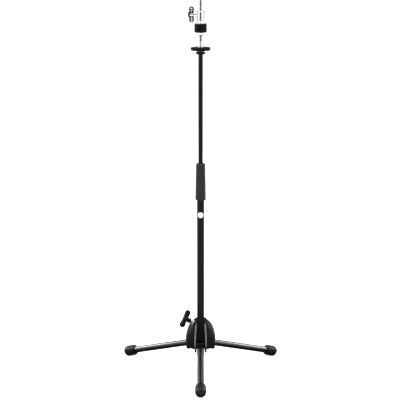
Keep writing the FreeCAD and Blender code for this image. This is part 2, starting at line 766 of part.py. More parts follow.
def make_grip():
    """The twist grip of the height clamp, fluted lengthwise, and the slit collet inside it."""
    bottom = mast_top - d.grip_overlap
    top = bottom + d.grip_length
    thread = ferrule_radius + d.running_fit
    chamber = collet_radius + d.loose_gap
    low = thread + d.grip_bottom_wall
    high = thread + d.grip_top_wall
    step = ferrule_top + d.loose_gap
    grip = new_body("grip_sleeve")
    turn(grip, "grip_turned", [
        (thread, bottom),
        (low - 1.2, bottom),
        (low, bottom + 1.2),
        (high, top - 2.4),
        (high - 2.4, top),
        (upper_radius + d.loose_gap, top),
        (upper_radius + d.loose_gap, top - d.grip_top_bore_length),
        (chamber, top - d.grip_top_bore_length),
        (chamber, step),
        (thread, step),
    ])
    half = d.grip_flute_width / 2
    shallow = (low + high) / 2 - d.grip_flute_depth
    plan = outline(grip, "flute_plan", "XY_Plane", [
        (-half, -low - 2),
        (half, -low - 2),
        (half, -(low + high) / 2 - 0.2),
        (half * 0.4, -shallow, 0 - half * 2),
        (-half * 0.4, -shallow),
        (-half, -(low + high) / 2 - 0.2),
    ])
    flute = extrude(grip, "Pocket", "flute", plan, top - 4, reverse=True)
    around(grip, "flutes", [flute], d.grip_flutes)
    keep("grip_sleeve", grip)

    collet = new_body("collet")
    bore = upper_radius + d.running_fit
    foot = ferrule_top + d.loose_gap
    head = foot + d.collet_length
    turn(collet, "collet_turned", [
        (bore, foot),
        (collet_radius, foot),
        (collet_radius, head - 10),
        (collet_radius - 0.8, head),
        (bore, head),
    ])
    slit = outline(collet, "slit_plan", "XY_Plane", [
        (-d.collet_slit / 2, -collet_radius * 2),
        (d.collet_slit / 2, -collet_radius * 2),
        (d.collet_slit / 2, 0 - bore / 2),
        (-d.collet_slit / 2, 0 - bore / 2),
    ])
    cut = extrude(collet, "Pocket", "slit", slit, head - 12, reverse=True)
    around(collet, "slits", [cut], 3)
    keep("collet", collet)


def make_upper_mast():
    """The upper tube, the bush that guides it, and the cymbal seat on its top."""
    turned("guide_bush", [
        (upper_inner, upper_bottom - d.loose_gap - d.bush_lip),
        (mast_inner - d.running_fit, upper_bottom - d.loose_gap - d.bush_lip),
        (mast_inner - d.running_fit, upper_bottom + d.bush_length),
        (upper_radius + d.running_fit, upper_bottom + d.bush_length),
        (upper_radius + d.running_fit, upper_bottom - d.loose_gap),
        (upper_inner, upper_bottom - d.loose_gap),
    ])
    tube("upper_tube", upper_radius, upper_inner, upper_bottom, upper_top)
    hole = rod_radius + d.press_gap
    turned("seat_flange", [
        (hole, upper_top - d.flange_plug),
        (upper_inner - d.press_gap, upper_top - d.flange_plug),
        (upper_inner - d.press_gap, upper_top),
        (d.flange_diameter / 2 - 0.8, upper_top),
        (d.flange_diameter / 2, upper_top + 0.8),
        (d.flange_diameter / 2, flange_top - 0.8),
        (d.flange_diameter / 2 - 0.8, flange_top),
        (hole, flange_top),
    ])
    spigot = d.seat_spigot_diameter / 2
    turned("seat_cup", [
        (spigot + d.press_gap, flange_top),
        (d.cup_base_diameter / 2, flange_top),
        (d.cup_diameter / 2 - 0.4, cup_top - 1.6),
        (d.cup_diameter / 2, cup_top - 1.1),
        (d.cup_diameter / 2, cup_top),
        (spigot + d.press_gap, cup_top),
    ])
    felt = d.seat_felt_diameter / 2
    collar = d.seat_post_collar / 2
    rim = cup_top + d.seat_felt_edge
    turned("seat_felt", [
        (collar + d.loose_gap, cup_top),
        (felt - 1.6, cup_top, 1.7),
        (felt, cup_top + 1.6),
        (felt, rim - 1.6, 1.7),
        (felt - 1.6, rim),
        (collar + 6, felt_top),
        (collar + 4, felt_top),
        (collar + d.loose_gap, felt_top - 1.2),
    ])
    post = d.seat_post_diameter / 2
    turned("seat_post", [
        (hole, flange_top),
        (spigot, flange_top),
        (spigot, cup_top),
        (collar, cup_top),
        (collar, felt_top),
        (post, felt_top),
        (post, post_top - d.seat_post_chamfer),
        (post - d.seat_post_chamfer, post_top),
        (hole, post_top),
    ])
    rod_top = post_top + d.rod_above_post
    turned("rod", [
        (0, flange_top - d.rod_in_plug),
        (rod_radius, flange_top - d.rod_in_plug),
        (rod_radius, rod_top - 1),
        (rod_radius - 1, rod_top),
        (0, rod_top),
    ])


def make_clutch():
    """The clutch that holds the top cymbal: body, stem, nuts, washers and felts round the rod."""
    body = new_body("clutch_body")
    wide = d.clutch_body_diameter / 2
    neck = d.clutch_neck_diameter / 2
    socket = clutch_shoulder - d.clutch_neck_height + d.clutch_stem_socket
    turn(body, "clutch_turned", [
        (stem_radius + d.press_gap, adjusting_nut_top),
        (neck, adjusting_nut_top),
        (neck, clutch_shoulder),
        (wide - 0.8, clutch_shoulder),
        (wide, clutch_shoulder + 0.8),
        (wide, clutch_top - 1),
        (wide - 1, clutch_top),
        (rod_radius + d.running_fit, clutch_top),
        (rod_radius + d.running_fit, socket),
        (stem_radius + d.press_gap, socket),
    ])
    boss = ring_sketch(body, "screw_boss_plan", "YZ_Plane", 0, clutch_screw_z, d.clutch_boss_diameter / 2)
    extrude(body, "Pad", "screw_boss", boss, d.clutch_boss_reach, reverse=True)
    bore = clutch_screw_radius + d.running_fit
    hole = ring_sketch(body, "screw_hole_plan", "YZ_Plane", 0, clutch_screw_z, bore)
    extrude(body, "Pocket", "screw_hole", hole, d.clutch_boss_reach + 1)
    clear = ring_sketch(body, "rod_way_plan", "XY_Plane", 0, 0, rod_radius + d.running_fit)
    extrude(body, "Pocket", "rod_way", clear, clutch_top + 1, reverse=True)
    keep("clutch_body", body)

    stem_top = socket - d.press_gap
    tube("clutch_stem", stem_radius, rod_radius + d.loose_gap, lock_nut_bottom + 0.6, stem_top)
    turned("adjusting_nut", [
        (stem_radius + d.press_gap, upper_washer_top),
        (d.adjusting_nut_diameter / 2 - 0.6, upper_washer_top),
        (d.adjusting_nut_diameter / 2, upper_washer_top + 0.6),
        (d.adjusting_nut_diameter / 2, adjusting_nut_top - 1),
        (d.adjusting_nut_diameter / 2 - 1, adjusting_nut_top),
        (stem_radius + d.press_gap, adjusting_nut_top),
    ])
    ease = stem_radius + d.loose_gap
    for node, low, high in (("upper_washer", upper_felt_top, upper_washer_top),
                            ("lower_washer", lower_washer_bottom, lower_washer_top)):
        rim = d.clutch_washer_diameter / 2
        turned(node, [(ease, low), (rim - 0.4, low), (rim, low + 0.4), (rim, high - 0.4),
                      (rim - 0.4, high), (ease, high)])
    for node, low, high in (("upper_felt", felts_meet, upper_felt_top),
                            ("lower_felt", lower_felt_bottom, felts_meet)):
        rim = d.clutch_felt_diameter / 2
        turned(node, [(ease, low), (rim - 1, low), (rim, low + 1), (rim, high - 1),
                      (rim - 1, high), (ease, high)])
    wide = d.lock_nut_diameter / 2
    base = d.lock_nut_base / 2
    turned("lock_nut", [
        (stem_radius + d.running_fit, lock_nut_bottom),
        (base, lock_nut_bottom, d.lock_nut_height * 1.1),
        (wide, lock_nut_bottom + d.lock_nut_height * 0.72),
        (wide, lock_nut_top - 0.6),
        (wide - 0.6, lock_nut_top),
        (stem_radius + d.running_fit, lock_nut_top),
    ])


def make_wing_screw():
    """The screw that clamps the clutch to the rod, and its wing."""
    aim = (0, 0, clutch_screw_z, 180, 90)
    tip = rod_radius + 0.35
    end = wing_start + d.wing_boss_length - 3
    screw = turned("clutch_screw", [
        (0, tip),
        (clutch_screw_radius - 0.6, tip),
        (clutch_screw_radius, tip + 0.6),
        (clutch_screw_radius, end),
        (0, end),
    ])
    placed(screw, *aim)

    wing = new_body("clutch_wing")
    boss = d.wing_boss_diameter / 2
    high = wing_start + d.wing_boss_length
    turn(wing, "wing_boss", [
        (0, wing_start),
        (boss - 0.8, wing_start),
        (boss, wing_start + 0.8),
        (boss, high - 2),
        (boss - 2, high),
        (0, high),
    ])
    half = d.wing_span / 2
    low = high - d.wing_depth
    waist = (d.wing_depth - d.wing_waist) / 2
    round_off = d.wing_depth * 0.32
    plate = outline(wing, "wing_plan", "XZ_Plane", [
        (boss * 0.6, low + waist),
        (half - round_off * 1.6, low),
        (half - round_off, low, round_off),
        (half, low + round_off),
        (half, high - round_off, round_off),
        (half - round_off, high),
        (half - round_off * 1.6, high),
        (boss * 0.6, high - waist),
        (-boss * 0.6, high - waist),
        (-half + round_off * 1.6, high),
        (-half + round_off, high, round_off),
        (-half, high - round_off),
        (-half, low + round_off, round_off),
        (-half + round_off, low),
        (-half + round_off * 1.6, low),
        (-boss * 0.6, low + waist),
    ])
    extrude(wing, "Pad", "wing_plate", plate, d.wing_thickness, symmetric=True)
    keep_hole = outline(wing, "wing_bore_plan", "XZ_Plane", [
        (0, wing_start - 1),
        (clutch_screw_radius + d.running_fit, wing_start - 1),
        (clutch_screw_radius + d.running_fit, end + d.loose_gap),
        (0, end + d.loose_gap),
    ])
    groove = wing.newObject("PartDesign::Groove", "wing_bore")
    groove.Profile = keep_hole
    groove.ReferenceAxis = (keep_hole, ["V_Axis"])
    groove.Angle = 360
    wing.Tip = groove
    placed(keep("clutch_wing", wing), *aim)


make_hub()
make_base_plate()
make_plate_screws()
for side, azimuth in LEGS:
    make_leg(side, azimuth)
make_hub_knob()
make_mast()
make_grip()
make_upper_mast()
make_clutch()
make_wing_screw()
doc.recompute()

for item in doc.Objects:
    if "Invalid" in item.State or "Error" in item.State:
        raise RuntimeError(f"{item.Name} failed: {item.State}")
for node, feature in nodes.items():
    if feature.Shape.isNull() or not feature.Shape.isValid() or len(feature.Shape.Solids) != 1:
        raise RuntimeError(f"{node} isn't one valid solid")

os.makedirs("parts", exist_ok=True)
for node, feature in nodes.items():
    feature.Shape.exportStep(f"parts/{node}.step")
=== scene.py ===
import json
from math import cos, hypot, pi, radians, sin, sqrt

import bmesh
import bpy
from mathutils import Matrix, Vector, noise


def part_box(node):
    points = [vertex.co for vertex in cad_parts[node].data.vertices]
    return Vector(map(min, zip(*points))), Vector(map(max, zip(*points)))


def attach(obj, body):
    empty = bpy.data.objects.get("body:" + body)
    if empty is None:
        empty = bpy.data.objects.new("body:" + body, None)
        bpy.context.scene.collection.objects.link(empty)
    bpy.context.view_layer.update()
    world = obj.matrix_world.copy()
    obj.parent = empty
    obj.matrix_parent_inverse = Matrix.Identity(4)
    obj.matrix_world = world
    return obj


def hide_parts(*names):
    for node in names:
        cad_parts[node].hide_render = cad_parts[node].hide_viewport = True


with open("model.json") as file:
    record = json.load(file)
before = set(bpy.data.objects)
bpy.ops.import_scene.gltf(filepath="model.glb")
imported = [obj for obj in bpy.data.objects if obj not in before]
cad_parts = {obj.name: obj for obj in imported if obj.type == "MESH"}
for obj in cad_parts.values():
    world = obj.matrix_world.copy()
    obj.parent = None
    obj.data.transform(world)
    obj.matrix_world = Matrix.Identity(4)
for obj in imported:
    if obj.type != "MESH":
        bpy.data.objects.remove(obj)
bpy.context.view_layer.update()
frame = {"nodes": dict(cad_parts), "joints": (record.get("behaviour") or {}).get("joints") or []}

mm = 0.001

# The room: a plain pale floor, a white surround and soft boxes beside, in front and above.
# Cards that show only in reflections stand behind the viewer and behind the stand, hang
# overhead and lie on the floor. They give the bright metal and the black coat dark lines.


def linear(code):
    """An sRGB hex colour as linear red, green, blue and alpha."""
    parts = [int(code[i:i + 2], 16) / 255 for i in (1, 3, 5)]
    return [p / 12.92 if p <= 0.04045 else ((p + 0.055) / 1.055) ** 2.4 for p in parts] + [1.0]


def add(tree, kind, inputs=None, **settings):
    """Add a node, set its properties, then set or link its inputs by name or number."""
    node = tree.nodes.new(kind)
    for name, value in settings.items():
        setattr(node, name, value)
    for name, value in (inputs or {}).items():
        if isinstance(value, bpy.types.NodeSocket):
            tree.links.new(value, node.inputs[name])
        else:
            node.inputs[name].default_value = value
    return node


def blank_finish(name):
    """An empty material with its node tree cleared."""
    finish = bpy.data.materials.new(name)
    finish.use_nodes = True
    finish.node_tree.nodes.clear()
    return finish, finish.node_tree


def place_mesh(name, mesh):
    """Put a finished mesh into the scene at the origin."""
    thing = bpy.data.objects.new(name, mesh)
    bpy.context.scene.collection.objects.link(thing)
    return thing


def card(name, corners, strength, shade):
    """A flat lit or dark card that shows only in what shines."""
    mesh = bpy.data.meshes.new(name)
    mesh.from_pydata(corners, [], [(0, 1, 2, 3)])
    finish, tree = blank_finish(name + "_face")
    glow = add(tree, "ShaderNodeEmission", {"Color": linear(shade), "Strength": strength})
    add(tree, "ShaderNodeOutputMaterial", {"Surface": glow.outputs["Emission"]})
    mesh.materials.append(finish)
    flat = place_mesh(name, mesh)
    flat.visible_camera = flat.visible_diffuse = flat.visible_shadow = False


bpy.context.scene.view_settings.view_transform = "Standard"

# The surround looks white and mirrors white, but lights the rest at less than half of that.
world = bpy.data.worlds.new("white_room")
bpy.context.scene.world = world
world.use_nodes = True
world.node_tree.nodes.clear()
path = add(world.node_tree, "ShaderNodeLightPath")
seen = add(world.node_tree, "ShaderNodeMath", {
    0: path.outputs["Is Camera Ray"], 1: path.outputs["Is Glossy Ray"]}, operation="MAXIMUM")
wall_light = add(world.node_tree, "ShaderNodeMapRange", {
    "Value": seen.outputs[0], "To Min": 0.45, "To Max": 1.0})
wall = add(world.node_tree, "ShaderNodeBackground", {
    "Color": linear("#ffffff"), "Strength": wall_light.outputs["Result"]})
add(world.node_tree, "ShaderNodeOutputWorld", {"Surface": wall.outputs["Background"]})

floor_mesh = bpy.data.meshes.new("floor")
floor_mesh.from_pydata([(-14, -9, 0), (14, -9, 0), (14, 19, 0), (-14, 19, 0)], [], [(0, 1, 2, 3)])
floor_finish, tree = blank_finish("pale_floor")
paper = add(tree, "ShaderNodeBsdfPrincipled", {
    "Base Color": linear("#fafafa"), "Roughness": 0.95, "Specular IOR Level": 0.05,
    "Emission Color": linear("#ffffff"), "Emission Strength": 0.62})
add(tree, "ShaderNodeOutputMaterial", {"Surface": paper.outputs["BSDF"]})
floor_mesh.materials.append(floor_finish)
place_mesh("floor", floor_mesh)

card("dark_screen", [(-1.9, -6.2, 0.2), (1.9, -6.2, 0.2), (1.9, -6.2, 4.4), (-1.9, -6.2, 4.4)],
     0.0, "#000000")
card("grey_wall", [(-3.6, 2.2, 0.8), (3.6, 2.2, 0.8), (3.6, 2.2, 2.6), (-3.6, 2.2, 2.6)],
     1.0, "#a8a8a8")
card("top_flag", [(-0.65, 0.8, 2.1), (0.65, 0.8, 2.1), (0.65, 2.1, 1.7), (-0.65, 2.1, 1.7)],
     0.0, "#000000")
card("dark_mat", [(-3, -0.3, 0.003), (3, -0.3, 0.003), (3, 0.45, 0.003), (-3, 0.45, 0.003)],
     1.0, "#303030")

for name, spot, aim, size, power in (
        ("left_box", (-2.6, 1.0, 1.5), (0, 0, 0.2), 1.3, 70),
        ("right_box", (2.6, 1.0, 1.5), (0, 0, 0.2), 1.3, 55),
        ("front_left_box", (-2.2, -2.6, 2.6), (0, 0, 0.5), 1.2, 38),
        ("top_box", (0.0, 0.2, 3.4), (0, 0, 0.3), 1.6, 40)):
    lamp = bpy.data.lights.new(name, "AREA")
    lamp.size = size
    lamp.energy = power
    holder = bpy.data.objects.new(name, lamp)
    holder.location = spot
    holder.rotation_euler = (Vector(aim) - Vector(spot)).to_track_quat("-Z", "Y").to_euler()
    bpy.context.scene.collection.objects.link(holder)

# The camera looks a little down from standing height.
lens = bpy.data.cameras.new("camera")
lens.lens = 129.6
lens.clip_end = 60
camera = bpy.data.objects.new("camera", lens)
camera.location = (-0.0018, -4.225, 1.409)
camera.rotation_euler = (radians(90 - 11.77), 0, 0)
bpy.context.scene.collection.objects.link(camera)
bpy.context.scene.camera = camera


# The hub: a heavy domed housing moulded in glass-filled black nylon. It is bored for the
# mast and has three open channels for the legs. Where each channel breaks out through
# the dome, the moulding has a thick rounded lip, polished by hands and by the legs, its grey a painted
# highlight.


def skin(name, dark, light, patch, grain, depth, rough, **sockets):
    """A finish whose shade and roughness drift over patches and whose surface has a fine grain.

    The patch, the grain and the grain's depth are in mm; rough is the range of the roughness.
    """
    finish, tree = blank_finish(name)
    where = add(tree, "ShaderNodeTexCoord").outputs["Object"]
    patches = add(tree, "ShaderNodeTexNoise", {
        "Vector": where, "Scale": 1 / (patch * mm), "Detail": 4.0})
    shade = add(tree, "ShaderNodeMix", {
        0: patches.outputs["Fac"], 6: linear(dark), 7: linear(light)}, data_type="RGBA")
    gloss = add(tree, "ShaderNodeMapRange", {
        "Value": patches.outputs["Fac"], "From Min": 0.3, "From Max": 0.7,
        "To Min": rough[0], "To Max": rough[1]})
    grains = add(tree, "ShaderNodeTexNoise", {
        "Vector": where, "Scale": 1 / (grain * mm), "Detail": 2.0, "Roughness": 0.4})
    relief = add(tree, "ShaderNodeBump", {
        "Height": grains.outputs["Fac"], "Strength": 1.0, "Distance": depth * mm})
    body = add(tree, "ShaderNodeBsdfPrincipled", {
        "Base Color": shade.outputs[2], "Roughness": gloss.outputs["Result"],
        "Normal": relief.outputs["Normal"]})
    for socket, value in sockets.items():
        body.inputs[socket.replace("_", " ")].default_value = value
    add(tree, "ShaderNodeOutputMaterial", {"Surface": body.outputs["BSDF"]})
    return finish


def dress(finish, *nodes):
    """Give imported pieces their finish."""
    for node in nodes:
        slots = frame["nodes"][node].data.materials
        slots.clear()
        slots.append(finish)


# Glass-filled nylon from a spark-eroded mould: a charcoal black with a fine matt grain
# and only a faint, broad highlight. The grain is 0.35 mm, coarser than real, so it shows.
filled_nylon = skin("glass_filled_nylon", "#0a0a0b", "#131314", 14, 0.35, 0.015, (0.36, 0.48),
                    Specular_IOR_Level=0.07)
dress(filled_nylon, "hub_housing")

# The lips: the same nylon rubbed smooth and much glossier; their mid grey is a painted highlight.
painted_highlight_nylon = skin("painted_highlight_nylon", "#5a5a5c", "#727275", 9, 0.5, 0.006, (0.2, 0.3))

leg_ways = (radians(270), radians(150), radians(30))
channel_half = 10.6 * mm
mouth_half = 15.0 * mm
flare_start = 22.0 * mm
lip_radius = 2.5 * mm
lip_inset = 0.7 * lip_radius
lip_outset = 0.75 * lip_radius
lip_tip = 0.4
hub_low, hub_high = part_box("hub_housing")
hub = frame["nodes"]["hub_housing"]


def joint_named(name):
    """The frame's entry for one joint."""
    return next(joint for joint in frame["joints"] if joint["name"] == name)


def channel_side(out, rim):
    """Half the width of a leg channel at a distance out from the mast."""
    share = max(0.0, (out - flare_start) / (rim + 1 * mm - flare_start))
    return channel_half + share * (mouth_half - channel_half)


def dome_radius(z):
    """The dome's radius at height z, felt from outside over the middle of the rear lobe."""
    hit, place, _, _ = hub.ray_cast(Vector((0, 0.2, z)), Vector((0, -1, 0)))
    return place.y if hit else 0.0


rim = dome_radius(hub_low.z + 20 * mm)
lip_foot = joint_named("leg_front_fold")["pos_m"][2] - 6 * mm
lip_top = hub_high.z - 9 * mm
lip_steps = 26
settling_rounds = 8

# A channel widens outward, so the place where its side meets the dome is found in rounds.
edge_points = []
for step in range(lip_steps + 1):
    z = lip_foot + (lip_top - lip_foot) * step / lip_steps
    radius = dome_radius(z)
    out = radius
    for _ in range(settling_rounds):
        out = sqrt(max(radius ** 2 - channel_side(out, rim) ** 2, 0.0))
    edge_points.append((out, channel_side(out, rim), z))

# Each lip's thickness is the radius of its points, which falls off towards both ends.
lips = bpy.data.curves.new("channel_lips", "CURVE")
lips.dimensions = "3D"
lips.bevel_depth = 1.0
lips.bevel_resolution = 4
lips.use_fill_caps = True
for way in leg_ways:
    for side in (-1, 1):
        line = lips.splines.new("POLY")
        line.points.add(len(edge_points) - 1)
        for point, (out, across, z) in zip(line.points, edge_points):
            inset = out - lip_inset
            beside = side * (across + lip_outset)
            point.co = (inset * cos(way) - beside * sin(way),
                        inset * sin(way) + beside * cos(way), z, 1)
            share = (z - lip_foot) / (lip_top - lip_foot)
            point.radius = lip_radius * min(1.0, 4 * share + lip_tip, 5 * (1 - share) + lip_tip)


def plain_mesh(thing):
    """The finished mesh of an object once its modifiers or bevel have run."""
    graph = bpy.context.evaluated_depsgraph_get()
    return bpy.data.meshes.new_from_object(thing.evaluated_get(graph))


def finished(name, mesh, finish, body, slot, *nodes, sharp=40):
    """Shade a mesh, give it its finish, and fix it to its body in place of the nodes it stands for."""
    mesh.materials.clear()
    mesh.materials.append(finish)
    mesh.shade_smooth()
    mesh.set_sharp_from_angle(angle=radians(sharp))
    piece = place_mesh(name, mesh)
    if nodes:
        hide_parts(*nodes)
    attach(piece, body)
    return piece


drawn = place_mesh("channel_lips_drawn", lips)
lip_mesh = plain_mesh(drawn)
bpy.data.objects.remove(drawn)
# The lips carry the nylon with the painted highlight: a mid grey where they catch the lamps.
finished("channel_lips", lip_mesh, painted_highlight_nylon, "base", "black_plastic")


# The legs: seamless steel tube, powder coated, pressed over a moulded nylon knuckle that
# turns on a plated steel pin held in the hub's lobes, and shod with a rubber foot.

# Powder coat: a deep even black that flows into a slight orange peel, seen as a soft
# ripple along the highlight. The ripples are 2.4 mm across.
powder_coat = skin("powder_coated_steel", "#050505", "#0a0a0a", 30, 2.4, 0.01, (0.34, 0.42),
                   Specular_IOR_Level=0.12)

# The legs' coat is the same black, smoother and glossier, so their flanks catch the room.
gloss_coat = skin("glossy_powder_coated_steel", "#060606", "#0b0b0b", 30, 2.4, 0.003,
                  (0.2, 0.26), Specular_IOR_Level=0.8, Coat_Weight=0.6)

# Plain nylon: smooth from the tool, a little glossier than the hub.
plain_nylon = skin("moulded_nylon", "#0c0c0c", "#151515", 8, 0.6, 0.01, (0.3, 0.4),
                   Specular_IOR_Level=0.15)

# Zinc-plated steel: a cool pale grey with a faint blue and a satin, slightly patchy shine.
zinc_steel = skin("zinc_plated_steel", "#a9adb3", "#c6cad0", 3, 0.25, 0.008, (0.24, 0.36),
                  Metallic=1.0)

# Black zinc plate on the leg pins: the same satin steel, nearly black, so the pins don't show.
black_zinc = skin("black_zinc_plated_steel", "#101113", "#1c1e20", 3, 0.25, 0.008, (0.3, 0.42),
                  Metallic=1.0)

# Foot rubber: dull black, slightly greyer in patches, with a fine mould texture.
foot_rubber = skin("moulded_rubber", "#080808", "#141413", 5, 0.5, 0.02, (0.34, 0.5),
                   Specular_IOR_Level=0.22)

for side in ("front", "left", "right"):
    dress(gloss_coat, f"leg_tube_{side}")
    dress(plain_nylon, f"leg_knuckle_{side}")
    dress(black_zinc, f"leg_pin_{side}")
    dress(foot_rubber, f"foot_{side}")


# The base plate: a pressed steel disc, powder coated, that closes the lobes from below
# and keeps the leg pins in their slots. Three countersunk screws hold it.

dress(powder_coat, "base_plate")
dress(zinc_steel, *(f"plate_screw_{lobe}" for lobe in ("rear", "left", "right")))


# The hub clamp: a threaded steel insert set in the lobe, a nylon pad that saves the tube,
# and a steel screw with a moulded bar knob gripped by hand.

# Natural nylon: a milky off-white with a soft, dull shine.
natural_nylon = skin("natural_nylon", "#cfcabc", "#dedacd", 4, 0.5, 0.01, (0.4, 0.5))
dress(natural_nylon, "hub_clamp_pad")
dress(zinc_steel, "hub_insert", "hub_screw")

clamp = joint_named("hub_knob_turn")
knob_azimuth = radians(210)
knob_lean = Vector((0, 0, 1)).angle(Vector(clamp["axis"]))
knob_place = (Matrix.Translation(Vector(clamp["pos_m"])) @ Matrix.Rotation(knob_azimuth, 4, "Z")
              @ Matrix.Rotation(knob_lean, 4, "Y"))


def interface(tree, names):
    """Name the inputs of a node tree and give it one shape out."""
    for name, kind in names.items():
        tree.interface.new_socket(name, in_out="INPUT", socket_type=kind)
    tree.interface.new_socket("Shape", in_out="OUTPUT", socket_type="NodeSocketGeometry")


def grown(name, tree, values, mesh=None):
    """Run a node tree with these values and keep its result as a plain mesh."""
    thing = place_mesh(name + "_grown", mesh or bpy.data.meshes.new(name))
    maker = thing.modifiers.new(name, "NODES")
    maker.node_group = tree
    for socket in tree.interface.items_tree:
        if socket.in_out == "INPUT" and socket.name in values:
            maker[socket.identifier] = values[socket.name]
    result = plain_mesh(thing)
    bpy.data.objects.remove(thing)
    return result


def shape_out(tree, shape, finish):
    """End a node tree: make its copies real, give them their finish and pass them out."""
    solid = add(tree, "GeometryNodeRealizeInstances", {"Geometry": shape})
    dressed = add(tree, "GeometryNodeSetMaterial", {
        "Geometry": solid.outputs["Geometry"], "Material": finish})
    add(tree, "NodeGroupOutput", {"Shape": dressed.outputs["Geometry"]})


thread_tree = bpy.data.node_groups.new("rolled_thread", "GeometryNodeTree")
interface(thread_tree, {
    "Radius": "NodeSocketFloat", "Pitch": "NodeSocketFloat", "Start": "NodeSocketFloat",
    "End": "NodeSocketFloat", "Ridge": "NodeSocketFloat", "Finish": "NodeSocketMaterial"})
given = add(thread_tree, "NodeGroupInput")
length = add(thread_tree, "ShaderNodeMath", {
    0: given.outputs["End"], 1: given.outputs["Start"]}, operation="SUBTRACT")
turns = add(thread_tree, "ShaderNodeMath", {
    0: length.outputs[0], 1: given.outputs["Pitch"]}, operation="DIVIDE")
coil = add(thread_tree, "GeometryNodeCurveSpiral", {
    "Resolution": 28, "Rotations": turns.outputs[0], "Start Radius": given.outputs["Radius"],
    "End Radius": given.outputs["Radius"], "Height": length.outputs[0]})
ridge = add(thread_tree, "GeometryNodeCurvePrimitiveCircle", {
    "Resolution": 4, "Radius": given.outputs["Ridge"]})
swept = add(thread_tree, "GeometryNodeCurveToMesh", {
    "Curve": coil.outputs[0], "Profile Curve": ridge.outputs[0], "Fill Caps": True})
lifted = add(thread_tree, "ShaderNodeCombineXYZ", {"Z": given.outputs["Start"]})
raised = add(thread_tree, "GeometryNodeTransform", {
    "Geometry": swept.outputs["Mesh"], "Translation": lifted.outputs["Vector"]})
shape_out(thread_tree, raised.outputs["Geometry"], given.outputs["Finish"])

knob_screw_radius = 4.0 * mm
knob_neck_start = 43.0 * mm
insert_end = 30.0 * mm
screw_thread = grown("hub_screw_thread", thread_tree, {
    "Radius": knob_screw_radius - 0.05 * mm, "Pitch": 1.25 * mm, "Start": insert_end + 0.6 * mm,
    "End": knob_neck_start - 0.4 * mm, "Ridge": 0.32 * mm, "Finish": zinc_steel})
screw_thread.transform(knob_place)
finished("hub_screw_thread", screw_thread, zinc_steel, "hub_screw", "zinc_steel", sharp=60)


def mesh_of(name, shape):
    """Keep a shape under work as a mesh."""
    mesh = bpy.data.meshes.new(name)
    shape.to_mesh(mesh)
    shape.free()
    return mesh


def lathe(name, profile, around=96, closed=False):
    """A turned mesh from (radius, height) points; closed joins the last point to the first."""
    shape = bmesh.new()
    rings = []
    for radius, z in profile:
        if radius == 0:
            rings.append([shape.verts.new((0, 0, z))])
            continue
        angles = (2 * pi * k / around for k in range(around))
        rings.append([shape.verts.new((radius * cos(a), radius * sin(a), z)) for a in angles])
    pairs = list(zip(rings, rings[1:]))
    if closed:
        pairs.append((rings[-1], rings[0]))
    for low, high in pairs:
        for k in range(around):
            after = (k + 1) % around
            corners = [low[k % len(low)], low[after % len(low)],
                       high[after % len(high)], high[k % len(high)]]
            distinct = []
            for corner in corners:
                if corner not in distinct:
                    distinct.append(corner)
            if len(distinct) > 2:
                shape.faces.new(distinct)
    bmesh.ops.recalc_face_normals(shape, faces=shape.faces)
    return mesh_of(name, shape)


def bone(name, half_length, end_radius, end_depth, waist, thickness, middle, roundness):
    """A bar along X with round, deeper ends, its depth along Z and its thickness along Y."""
    along, around = 64, 40
    knuckle = half_length - end_radius
    neck = 0.16 * half_length
    rings = []
    shape = bmesh.new()
    for step in range(1, along):
        x = -half_length * cos(pi * step / along)
        reach = abs(x)
        swell = min(1.0, max(0.0, (reach - neck) / (knuckle - neck)))
        swell = swell * swell * (3 - 2 * swell)
        depth = waist + (end_depth - waist) * swell
        flat = thickness
        if reach > knuckle:
            fall = sqrt(max(1 - ((reach - knuckle) / end_radius) ** 2, 0.0))
            depth = end_depth * fall
            flat = thickness * sqrt(fall)
        ring = []
        for k in range(around):
            angle = 2 * pi * k / around
            c, s = cos(angle), sin(angle)
            y = flat * (abs(s) ** roundness) * (1 if s >= 0 else -1)
            z = depth * (abs(c) ** roundness) * (1 if c >= 0 else -1)
            ring.append(shape.verts.new((x, y, middle + z)))
        rings.append(ring)
    for low, high in zip(rings, rings[1:]):
        for k in range(around):
            after = (k + 1) % around
            shape.faces.new((low[k], low[after], high[after], high[k]))
    for ring, x in ((rings[0], -half_length), (rings[-1], half_length)):
        tip = shape.verts.new((x, 0, middle))
        for k in range(around):
            shape.faces.new((ring[k], ring[(k + 1) % around], tip))
    bmesh.ops.recalc_face_normals(shape, faces=shape.faces)
    return mesh_of(name, shape)


def fused(name, parts, cell, passes):
    """Merge overlapping closed meshes into one flowing skin, as one moulding or casting."""
    shape = bmesh.new()
    for part in parts:
        shape.from_mesh(part)
    thing = place_mesh(name + "_parts", mesh_of(name, shape))
    remesh = thing.modifiers.new("one_skin", "REMESH")
    remesh.mode = "VOXEL"
    remesh.voxel_size = cell
    smooth = thing.modifiers.new("flow", "SMOOTH")
    smooth.factor = 0.5
    smooth.iterations = passes
    result = plain_mesh(thing)
    bpy.data.objects.remove(thing)
    return result


knob_half = 28.0 * mm
knob_bar_start = 53.5 * mm
knob_bar_radius = 8.5 * mm
knob_waist = 6.5 * mm
knob_thickness = 8.0 * mm
knob_neck_radius = 7.5 * mm
knob_middle = knob_bar_start + knob_bar_radius
knob_bar = bone("knob_bar", knob_half, knob_bar_radius, knob_bar_radius, knob_waist,
                knob_thickness, knob_middle, 0.8)
knob_neck = lathe("knob_neck", [
    (0, knob_neck_start), (knob_neck_radius + 0.5 * mm, knob_neck_start),
    (knob_neck_radius + 0.5 * mm, knob_neck_start + 1.6 * mm),
    (knob_neck_radius - 0.6 * mm, knob_neck_start + 5 * mm),
    (knob_neck_radius + 0.7 * mm, knob_bar_start + 3 * mm),
    (knob_neck_radius - 1 * mm, knob_bar_start + 14 * mm), (0, knob_bar_start + 15 * mm)])
hub_knob = fused("hub_knob", [knob_bar, knob_neck], 0.55 * mm, 7)
hub_knob.transform(knob_place)
finished("bar_knob", hub_knob, filled_nylon, "hub_knob", "black_plastic", "hub_knob", sharp=80)


